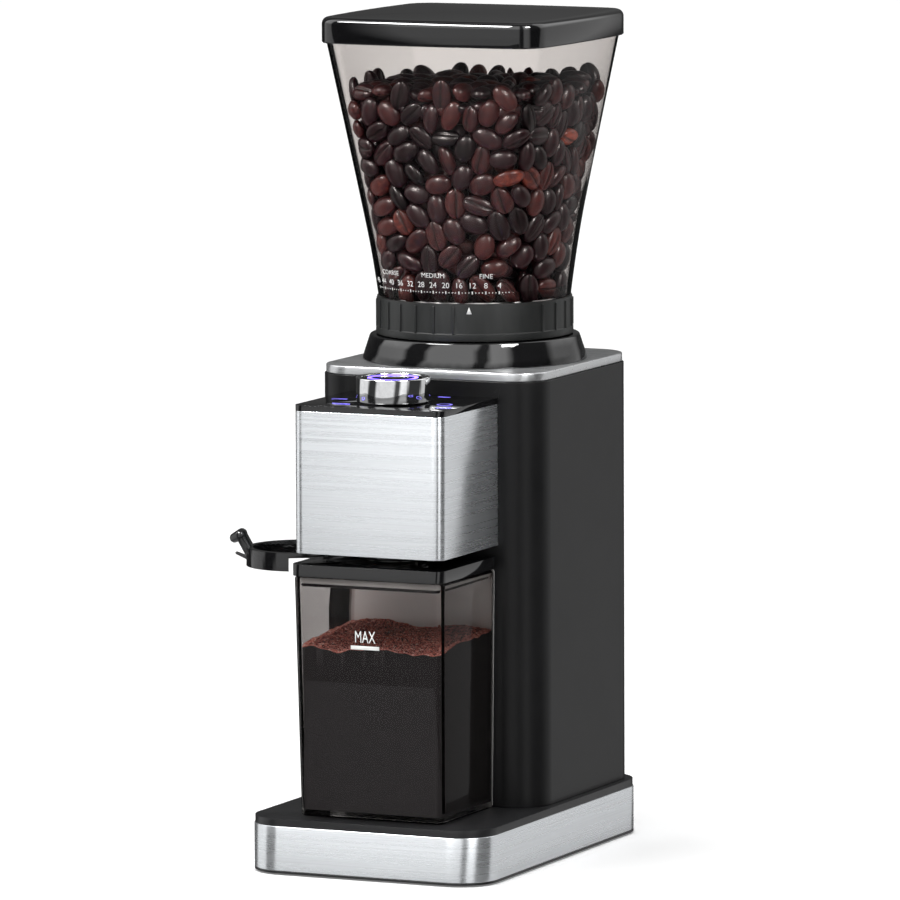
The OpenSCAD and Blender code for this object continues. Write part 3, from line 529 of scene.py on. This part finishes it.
def push_apart(middles, axes, normals_of, rounds, reach=1.9 * MM, width=9.3 * MM):
    """Beans as pairs of balls: each pushes the others away, then goes back to its own layer."""
    count = len(middles)
    owner = np.tile(np.arange(count), 2)
    apart = owner[:, None] != owner[None, :]
    for _ in range(rounds):
        ends = np.concatenate([middles + reach * axes, middles - reach * axes])
        gaps = ends[:, None, :] - ends[None, :, :]
        far = np.sqrt((gaps ** 2).sum(2)) + 1e-9
        push = np.clip(width - far, 0, None) * apart / far
        force = (gaps * push[..., None]).sum(1)
        first, second = force[:count], force[count:]
        middles = middles + 0.22 * (first + second)
        axes = axes + 0.15 * (first - second) / reach
        middles, normals = normals_of(middles)
        axes = axes - (axes * normals).sum(1)[:, None] * normals
        axes = axes / np.linalg.norm(axes, axis=1)[:, None]
    return middles, axes, normals


def layer(depth, lid_gap):
    """Keeps beans at a depth behind the wall, between the hopper's floor and the top of the beans."""
    def keep(points):
        points = points.copy()
        points[:, 2] = np.clip(points[:, 2], HOPPER_LOW.z + 5 * MM, bean_top(points) - lid_gap)
        radius, out, normal = wall_at(points)
        share = (out * normal).sum(1)
        place = radius - (HOPPER_WALL + depth) / share
        points[:, :2] = out[:, :2] * place[:, None] + (0, MILL_Y)
        return points, normal
    return keep


def top_layer(points):
    """Keeps beans on the top, clear of those at the wall."""
    points = points.copy()
    radius, out, _ = wall_at(points)
    spread = np.hypot(points[:, 0], points[:, 1] - MILL_Y)
    spread = np.minimum(spread, radius - HOPPER_WALL - 9 * MM)
    points[:, :2] = out[:, :2] * spread[:, None] + (0, MILL_Y)
    points[:, 2] = bean_top(points) - 3.2 * MM
    return points, np.tile((0.0, 0.0, 1.0), (len(points), 1))


def under_top(points):
    """Keeps beans one layer below the top ones."""
    places, normals = top_layer(points)
    return places - (0, 0, 6.5 * MM), normals


def scatter(rng, count):
    """Random places in the beans' part of the hopper, and random directions."""
    points = np.empty((count, 3))
    points[:, 0] = rng.uniform(-RIM_HALF, RIM_HALF, count)
    points[:, 1] = rng.uniform(-RIM_HALF, RIM_HALF, count) + MILL_Y
    points[:, 2] = HOPPER_LOW.z + (BEAN_TOP - HOPPER_LOW.z) * rng.random(count) ** 0.8
    axes = rng.normal(0, 1, (count, 3)) * (1, 1, 0.55)
    return points, axes / np.linalg.norm(axes, axis=1)[:, None]


def make_beans():
    """Beans fill the hopper in layers behind the wall and under the top, with a loose crowd in the middle."""
    rng = np.random.default_rng(11)
    wall_count, top_count = 262, 74
    gap = 0.25 * MM
    middles, axes = scatter(rng, wall_count + top_count)
    at_wall = layer(3.7 * MM, 3.4 * MM)

    def shell(points):
        wall, wall_normals = at_wall(points[:wall_count])
        top, top_normals = top_layer(points[wall_count:])
        return np.concatenate([wall, top]), np.concatenate([wall_normals, top_normals])

    shown = push_apart(middles, axes, shell, 70)
    hidden = []
    for depth, count in ((10.6, 205), (17.2, 160)):
        hidden.append(push_apart(*scatter(rng, count), layer(depth * MM, 8 * MM), 35))
    for depth, count in ((25.0, 110), (32.0, 60)):
        hidden.append(push_apart(*scatter(rng, count), layer(depth * MM, 9 * MM), 20))
    lower_top = push_apart(*scatter(rng, 60), under_top, 35)
    groups = {"beans_outer": [shown], "beans_inner": [*hidden, lower_top]}
    forms = {"beans_outer": bean_form(10, 13), "beans_inner": bean_form(6, 7)}
    for name, parts in groups.items():
        form, form_faces, form_crease = forms[name]
        points, faces, tones, creases = [], [], [], []
        for middle, axis, normal in zip(*(np.concatenate(column) for column in zip(*parts))):
            size = np.array([rng.uniform(6.1, 7.3), rng.uniform(4.3, 5.0), rng.uniform(3.5, 4.1)]) * MM
            lean = normal + rng.normal(0, 0.42, 3)
            lean -= lean.dot(axis) * axis
            lean /= np.linalg.norm(lean)
            if rng.random() < 0.32:
                lean = -lean
            turn = np.stack([axis, np.cross(lean, axis), lean], 1)
            placed = (form * size) @ turn.T + middle
            inner = wall_at(placed)[0] - HOPPER_WALL - gap
            over = float((np.hypot(placed[:, 0], placed[:, 1] - MILL_Y) - inner).max())
            if over > 0:
                inward = (middle - (0, MILL_Y, middle[2])) / np.hypot(middle[0], middle[1] - MILL_Y)
                placed -= inward * over
            start = len(points) * len(form)
            points.append(placed)
            faces += [tuple(start + v for v in face) for face in form_faces]
            tones.append(np.full(len(form), np.clip(rng.normal(0.42, 0.2), 0.03, 0.97)))
            creases.append(form_crease)
        piece = build(name, np.concatenate(points), faces, BEANS, "hopper", 180)
        for label, values in (("tone", tones), ("crease", creases)):
            attribute = piece.data.attributes.new(label, "FLOAT", "POINT")
            attribute.data.foreach_set("value", np.concatenate(values).astype(np.float32))


# ---------- bin and grounds ----------

def make_bin():
    """Clear bin with a drafted wall, a thick floor and rounded edges."""
    foot = 1.6 * MM
    rings = [bin_ring(BIN_LOW.z, 3 * MM), bin_ring(BIN_LOW.z, foot)]
    rings += [bin_ring(BIN_LOW.z + foot * (1 - math.cos(a)), foot * (1 - math.sin(a)))
              for a in np.linspace(0.3, math.pi / 2, 5)]
    rings += [bin_ring(BIN_LOW.z + (BIN_HIGH.z - BIN_LOW.z) * k / 8, 0) for k in range(1, 8)]
    lip = BIN_WALL / 2
    rings += [bin_ring(BIN_HIGH.z - lip * (1 - math.sin(a)), lip * (1 - math.cos(a)))
              for a in np.linspace(0, math.pi, 7)]
    inside = BIN_LOW.z + BIN_FLOOR
    rings += [bin_ring(BIN_HIGH.z + (inside + 2 * MM - BIN_HIGH.z) * k / 8, BIN_WALL) for k in range(1, 9)]
    rings += [bin_ring(inside + 2 * MM * (1 - math.sin(a)), BIN_WALL + 2 * MM * (1 - math.cos(a)), 2 * MM)
              for a in np.linspace(0.3, math.pi / 2, 5)]
    count = len(rings[0])
    points = [p for ring in rings for p in ring]
    faces = skin(count, len(rings))
    faces.append(tuple(range(count - 1, -1, -1)))
    faces.append(tuple(range((len(rings) - 1) * count, len(rings) * count)))
    piece = build("bin_shell", points, faces, LOOKS["smoked_bin"], "bin", 50)
    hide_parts("grounds_bin")


def heap_height(x, y):
    """Top of the ground coffee: higher at the back, lumpy."""
    share = (y - BIN_LOW.y) / (BIN_HIGH.y - BIN_LOW.y)
    lumps = 2.6 * noise.noise(Vector((x * 55, y * 55, 0.7))) + noise.noise(Vector((x * 160, y * 160, 4.0)))
    return BIN_LOW.z + 0.695 * (BIN_HIGH.z - BIN_LOW.z) + (6.5 * share ** 0.8 + lumps) * MM


def make_grounds():
    """Ground coffee up to the mark, with grains standing out of its top."""
    rng = np.random.default_rng(5)
    gap = BIN_WALL + 0.12 * MM
    low = BIN_LOW.z + BIN_FLOOR + 0.2 * MM
    level = BIN_LOW.z + 0.7 * (BIN_HIGH.z - BIN_LOW.z)
    outline = np.array(bin_ring(level, gap, 2.2 * MM))
    fine = []
    for here, there in zip(outline, np.roll(outline, -1, 0)):
        steps = max(1, int(np.hypot(*(there - here)[:2]) / (0.8 * MM)))
        fine += [here + (there - here) * k / steps for k in range(steps)]
    outline = np.array(fine)
    count = len(outline)
    middle = outline[:, :2].mean(0)
    points = []
    walls = np.linspace(0, 1, 9)
    tops = np.array([heap_height(x, y) for x, y, _ in outline])
    for share in walls:
        for (x, y, _), top in zip(outline, tops):
            z = low + (top - low) * share
            shrink = 1 - (level - z) / (level - BIN_LOW.z) * 0.026
            points.append((x * shrink, y + (BIN_HIGH.y - y) * (1 - shrink) * 0.9, z))
    rings = len(walls)
    for share in np.linspace(0.985, 0.02, 54):
        for x, y, _ in outline:
            px, py = middle[0] + (x - middle[0]) * share, middle[1] + (y - middle[1]) * share
            points.append((px, py, heap_height(px, py) + rng.uniform(-0.45, 0.45) * MM))
        rings += 1
    faces = skin(count, rings)
    faces.append(tuple(range(count - 1, -1, -1)))
    faces.append(tuple(range((rings - 1) * count, rings * count)))
    build("ground_coffee", points, faces, GROUNDS, "bin", 60)
    grains, grain_faces = [], []
    half_x, half_y = BIN_HIGH.x - 6 * MM, (BIN_HIGH.y - BIN_LOW.y) / 2 - 5.5 * MM
    corners = np.array([(1, 0, 0), (0, 1, 0), (-1, 0, 0), (0, -1, 0), (0, 0, 1), (0, 0, -1)])
    sides = ((0, 1, 4), (1, 2, 4), (2, 3, 4), (3, 0, 4), (1, 0, 5), (2, 1, 5), (3, 2, 5), (0, 3, 5))
    grain_count = 5200
    for _ in range(grain_count):
        x = rng.uniform(-half_x, half_x)
        y = (BIN_LOW.y + BIN_HIGH.y) / 2 + rng.uniform(-half_y, half_y)
        size = rng.uniform(0.25, 0.65, 3) * MM
        spin = np.array(Matrix.Rotation(rng.uniform(0, 6.3), 3, Vector(rng.normal(0, 1, 3)).normalized()))
        start = len(grains)
        place = (x, y, heap_height(x, y) + rng.uniform(0, 0.5) * MM)
        grains += [tuple(v) for v in (corners * size) @ spin.T + place]
        grain_faces += [tuple(start + i for i in face) for face in sides]
    build("loose_grains", grains, grain_faces, GROUNDS, "bin", 30)


# ---------- prints, icons and pointer ----------

def letters(text, height):
    """Flat mesh of a line of text, centred, in metres: points and faces."""
    curve = bpy.data.curves.new("letters", "FONT")
    curve.body = text
    curve.size = height / 0.7
    curve.align_x = "CENTER"
    curve.resolution_u = 3
    holder = bpy.data.objects.new("letters", curve)
    bpy.context.scene.collection.objects.link(holder)
    bpy.context.view_layer.update()
    mesh = holder.evaluated_get(bpy.context.evaluated_depsgraph_get()).to_mesh()
    points = [tuple(v.co) for v in mesh.vertices]
    faces = [tuple(f.vertices) for f in mesh.polygons]
    bpy.data.objects.remove(holder)
    return points, faces


def strip(width, height, columns=1):
    """Flat rectangle on its middle, in columns so that it can bend."""
    points, faces = [], []
    for k in range(columns + 1):
        x = width * (k / columns - 0.5)
        points += [(x, -height / 2, 0), (x, height / 2, 0)]
    for k in range(columns):
        faces.append((2 * k, 2 * k + 2, 2 * k + 3, 2 * k + 1))
    return points, faces


def printed(name, shapes, place, look, body, thickness=0.05):
    """Joins flat shapes, each (points, faces, x, y), laid by place, as a film too thin to cast a shadow."""
    points, faces = [], []
    for shape_points, shape_faces, x, y in shapes:
        start = len(points)
        points += [place(x + p[0], y + p[1]) for p in shape_points]
        faces += [tuple(start + v for v in face) for face in shape_faces]
    piece = build(name, points, faces, look, body)
    film = piece.modifiers.new("film", "SOLIDIFY")
    film.thickness = thickness * MM
    film.offset = 1
    piece.visible_shadow = False
    return piece


def make_scale():
    """Grind scale round the hopper's foot: a dot for each setting, a number every fourth, three zones."""
    low_deg, high_deg = JOINTS["grind_turn"]["range_deg"]
    last = 48
    step = (high_deg - low_deg) / (last - 1)

    def angle_of(setting):
        return POINTER_DEG - low_deg - (setting - 1) * step

    def on_hopper(along, z):
        degrees = POINTER_DEG + math.degrees(along / FOOT_R)
        return polar(float(hopper_radius(degrees, z)) + 0.03 * MM, degrees, z)

    def along_of(setting):
        return math.radians(angle_of(setting) - POINTER_DEG) * FOOT_R

    dots_z, numbers_z, zones_z = (HOPPER_LOW.z + h * MM for h in (4.6, 6.7, 11.2))
    shapes = []
    for setting in range(1, last + 1):
        major = setting % 4 == 0
        shapes.append((*strip(0.55 * MM if major else 0.4 * MM, 1.3 * MM if major else 0.5 * MM),
                       along_of(setting), dots_z))
        if major:
            shapes.append((*letters(str(setting), 2.5 * MM), along_of(setting), numbers_z))
    for text, setting in (("FINE", 8), ("MEDIUM", 24), ("COARSE", 40)):
        shapes.append((*letters(text, 2.1 * MM), along_of(setting), zones_z))
    printed("grind_scale", shapes, on_hopper, PRINT, "hopper")


def make_pointer():
    """White pointer near the top of the grind ring."""
    top = RING_HIGH.z - 1.2 * MM
    radius = RING_HIGH.x - 0.45 * MM
    size = 1.6 * MM
    triangle = ([(-size * 0.75, -2 * size, 0), (size * 0.75, -2 * size, 0), (0, 0, 0)], [(0, 1, 2)])

    def on_ring(along, z):
        return polar(radius, POINTER_DEG + math.degrees(along / radius), z)

    printed("pointer", [(*triangle, 0, top)], on_ring, PRINT, "grind_ring")


def make_fill_mark():
    """Fill mark on the front of the bin."""
    def on_front(x, z):
        share = (z - BIN_LOW.z) / (BIN_HIGH.z - BIN_LOW.z)
        return (x, BIN_LOW.y + 2 * BIN_DRAFT * (1 - share) - 0.03 * MM, z)

    bar_z = BIN_LOW.z + 0.72 * (BIN_HIGH.z - BIN_LOW.z)
    middle = -1.2 * MM
    word, word_faces = letters("MAX", 5.4 * MM)
    narrow = [(0.62 * x, y, z) for x, y, z in word]
    printed("fill_mark", [(*strip(14 * MM, 1.7 * MM), middle, bar_z),
                          (narrow, word_faces, middle, bar_z + 2.3 * MM)], on_front, PRINT, "bin")


def arc(radius, width, first, last, steps=14):
    """Flat arc between two angles."""
    points, faces = [], []
    for k in range(steps + 1):
        a = math.radians(first + (last - first) * k / steps)
        points += [((radius - width) * math.cos(a), (radius - width) * math.sin(a), 0),
                   (radius * math.cos(a), radius * math.sin(a), 0)]
    for k in range(steps):
        faces.append((2 * k, 2 * k + 1, 2 * k + 3, 2 * k + 2))
    return points, faces


def make_icons():
    """Lit touch symbols by the dial: a cup and a bar on the left, two rings and a bar on the right."""
    z = PANEL_HIGH.z + 0.03 * MM
    lit = glowing("lit_symbols", (0.16, 0.13, 0.75), 2.2)
    cup_x, cup_y = -19 * MM, PANEL_LOW.y + 13.5 * MM
    shapes = [(*arc(3.6 * MM, 0.8 * MM, 180, 360), cup_x, cup_y), (*strip(8.4 * MM, 0.9 * MM), cup_x, cup_y),
              (*arc(1.6 * MM, 0.6 * MM, -90, 90), cup_x + 3.6 * MM, cup_y - 1.4 * MM),
              (*strip(7.6 * MM, 1.4 * MM), -27.4 * MM, PANEL_LOW.y + 30 * MM)]
    for x, y in ((25.8, 27.0), (30.6, 15.5)):
        shapes.append((*arc(3.6 * MM, 0.9 * MM, 0, 360, 24), x * MM, PANEL_LOW.y + y * MM))
    shapes.append((*strip(5.8 * MM, 1.6 * MM), 13.4 * MM, PANEL_HIGH.y - 6.5 * MM))
    printed("touch_symbols", shapes, lambda x, y: (x, y, z), lit, "root", 0.03)


# ---------- stage ----------

def plain(name, colour, roughness):
    look = Look(name, colour, roughness)
    look.rough(look.noise((3, 3, 3)), roughness - 0.05, roughness + 0.05)
    return look.material


def make_stage():
    """Pale floor, and a light tent of bright panels with dark gaps that only reflections see."""
    reach = 30.0
    mesh = bpy.data.meshes.new("floor")
    corners = [(-reach, -reach, 0), (reach, -reach, 0), (reach, reach, 0), (-reach, reach, 0)]
    mesh.from_pydata(corners, [], [(0, 1, 2, 3)])
    white = plain("floor_white", (0.93, 0.93, 0.93), 0.6)
    shader = white.node_tree.nodes["Principled BSDF"]
    shader.inputs["Emission Color"].default_value = (1, 1, 1, 1)
    shader.inputs["Emission Strength"].default_value = 0.14
    mesh.materials.append(white)
    floor = bpy.data.objects.new("floor", mesh)
    bpy.context.scene.collection.objects.link(floor)
    floor.visible_glossy = False
    radius, low, high, sides = 1.5, -0.9, 3.0, 96
    circle = [(radius * math.cos(2 * math.pi * k / sides), radius * math.sin(2 * math.pi * k / sides))
              for k in range(sides)]
    walls = bpy.data.meshes.new("tent")
    rings = [(x, y, z) for z in (low, high) for x, y in circle]
    walls.from_pydata(rings, [], skin(sides, 2))
    walls.materials.append(tent_look())
    tent = bpy.data.objects.new("tent", walls)
    bpy.context.scene.collection.objects.link(tent)
    for kind in ("camera", "diffuse", "transmission", "volume_scatter", "shadow"):
        setattr(tent, "visible_" + kind, False)


def tent_look():
    """Brightness of the tent by direction, in degrees to the right of the front; brighter high up."""
    panels = ((-180, 0.07), (-158, 0.08), (-148, 0.05), (-104, 0.03), (-97, 0.85), (-62, 0.85),
              (-55, 0.04), (-35, 0.04), (-28, 0.83), (22, 0.84), (29, 0.08), (38, 0.08), (45, 1.05),
              (60, 0.95), (70, 0.04), (110, 0.04), (120, 0.60), (160, 0.62), (170, 0.08), (180, 0.07))
    levels = ((-0.34, 0.36), (-0.22, 0.40), (0.5, 0.40), (0.9, 1.0))
    material = bpy.data.materials.new("tent_panels")
    material.use_nodes = True
    nodes, links = material.node_tree.nodes, material.node_tree.links
    nodes.clear()
    place = nodes.new("ShaderNodeTexCoord")
    parts = nodes.new("ShaderNodeSeparateXYZ")
    flip = nodes.new("ShaderNodeMath")
    flip.operation = "MULTIPLY"
    flip.inputs[1].default_value = -1
    angle = nodes.new("ShaderNodeMath")
    angle.operation = "ARCTAN2"
    share = nodes.new("ShaderNodeMapRange")
    share.inputs[1].default_value, share.inputs[2].default_value = -math.pi, math.pi
    ramp = nodes.new("ShaderNodeValToRGB")
    band = ramp.color_ramp
    while len(band.elements) < len(panels):
        band.elements.new(0.5)
    for element, (degrees, value) in zip(band.elements, panels):
        element.position = (degrees + 180) / 360
        element.color = (value, value, value, 1)
    height = nodes.new("ShaderNodeValToRGB")
    tall = nodes.new("ShaderNodeMapRange")
    tall.inputs[1].default_value, tall.inputs[2].default_value = -0.9, 3.0
    while len(height.color_ramp.elements) < 4:
        height.color_ramp.elements.new(0.5)
    for element, (z, value) in zip(height.color_ramp.elements, levels):
        element.position = (z + 0.9) / 3.9
        element.color = (value, value, value, 1)
    power = nodes.new("ShaderNodeMath")
    power.operation = "MULTIPLY"
    power.inputs[1].default_value = 2.5
    light = nodes.new("ShaderNodeEmission")
    out = nodes.new("ShaderNodeOutputMaterial")
    links.new(place.outputs["Object"], parts.inputs[0])
    links.new(parts.outputs["X"], angle.inputs[0])
    links.new(parts.outputs["Y"], flip.inputs[0])
    links.new(flip.outputs[0], angle.inputs[1])
    links.new(angle.outputs[0], share.inputs[0])
    links.new(share.outputs[0], ramp.inputs[0])
    links.new(parts.outputs["Z"], tall.inputs[0])
    links.new(tall.outputs[0], height.inputs[0])
    links.new(height.outputs[0], power.inputs[0])
    links.new(ramp.outputs[0], light.inputs["Color"])
    links.new(power.outputs[0], light.inputs["Strength"])
    links.new(light.outputs[0], out.inputs["Surface"])
    return material


def softbox(name, azimuth, elevation, distance, width, height, power, target, glint=False):
    """Area light that faces the target; azimuth 0 is straight in front, positive to the right.
    A glint is seen in reflections and lights nothing; any other is the opposite."""
    lamp = bpy.data.lights.new(name, "AREA")
    lamp.shape = "RECTANGLE"
    lamp.size, lamp.size_y = width, height
    lamp.energy = power
    holder = bpy.data.objects.new(name, lamp)
    a, e = math.radians(azimuth), math.radians(elevation)
    away = Vector((math.sin(a) * math.cos(e), -math.cos(a) * math.cos(e), math.sin(e)))
    holder.location = target + away * distance
    holder.rotation_euler = away.to_track_quat("Z", "Y").to_euler()
    holder.visible_glossy = glint
    holder.visible_diffuse = not glint
    bpy.context.scene.collection.objects.link(holder)


def make_lights():
    world = bpy.data.worlds.new("studio")
    bpy.context.scene.world = world
    world.use_nodes = True
    tree = world.node_tree
    background = tree.nodes["Background"]
    place = tree.nodes.new("ShaderNodeTexCoord")
    parts = tree.nodes.new("ShaderNodeSeparateXYZ")
    room = tree.nodes.new("ShaderNodeMapRange")
    for index, value in ((1, -0.5), (2, 0.5), (3, 0.12), (4, 0.65)):
        room.inputs[index].default_value = value
    path = tree.nodes.new("ShaderNodeLightPath")
    seen = tree.nodes.new("ShaderNodeMath")
    seen.operation = "MAXIMUM"
    strength = tree.nodes.new("ShaderNodeMix")
    tree.links.new(place.outputs["Generated"], parts.inputs[0])
    tree.links.new(parts.outputs["Y"], room.inputs[0])
    tree.links.new(path.outputs["Is Camera Ray"], seen.inputs[0])
    tree.links.new(path.outputs["Is Transmission Ray"], seen.inputs[1])
    tree.links.new(seen.outputs[0], strength.inputs[0])
    tree.links.new(room.outputs[0], strength.inputs[2])
    strength.inputs[3].default_value = 1.0
    tree.links.new(strength.outputs[0], background.inputs["Strength"])
    background.inputs["Color"].default_value = (1, 1, 1, 1)
    middle = Vector((0, 0, 0.2))
    softbox("key_left", -36, 20, 1.7, 0.8, 1.5, 8, middle)
    softbox("strip_right", 66, 12, 1.5, 0.25, 1.4, 3, middle)
    softbox("back_right", 140, 25, 1.8, 0.6, 1.2, 4, middle)
    softbox("top", 10, 86, 1.6, 1.2, 1.2, 9, middle)
    softbox("glint_left", -34, 53, 1.5, 0.60, 0.40, 34, middle, glint=True)
    softbox("glint_right", 64, 46, 1.5, 0.40, 0.40, 18, middle, glint=True)
    sky = bpy.data.lights.new("sky", "SUN")
    sky.energy, sky.angle = 2.1, math.radians(80)
    high = bpy.data.objects.new("sky", sky)
    high.rotation_euler = Vector((-0.35, -0.3, 1)).to_track_quat("Z", "Y").to_euler()
    high.visible_glossy = False
    bpy.context.scene.collection.objects.link(high)


def make_camera():
    """Camera a little above the object and to its right, with a long lens."""
    azimuth, elevation, roll = math.radians(24.75), math.radians(6.87), math.radians(-0.27)
    distance, sensor, lens = 4.0504, 36.0, 358.34
    target = Vector((0.0027, 0.0, 0.1834))
    away = Vector((math.sin(azimuth) * math.cos(elevation), -math.cos(azimuth) * math.cos(elevation),
                   math.sin(elevation)))
    data = bpy.data.cameras.new("camera")
    data.sensor_width, data.lens = sensor, lens
    data.clip_start, data.clip_end = 0.05, 100
    camera = bpy.data.objects.new("camera", data)
    camera.location = target + away * distance
    level = away.to_track_quat("Z", "Y").to_matrix()
    camera.rotation_euler = (level @ Matrix.Rotation(roll, 3, "Z")).to_euler()
    bpy.context.scene.collection.objects.link(camera)
    bpy.context.scene.camera = camera


make_camera()
make_stage()
make_lights()
finish_nodes()
make_hopper()
make_lid()
make_beans()
make_bin()
make_grounds()
make_scale()
make_pointer()
make_fill_mark()
make_icons()
bpy.context.scene.view_settings.view_transform = "Standard"

bpy.context.view_layer.update()
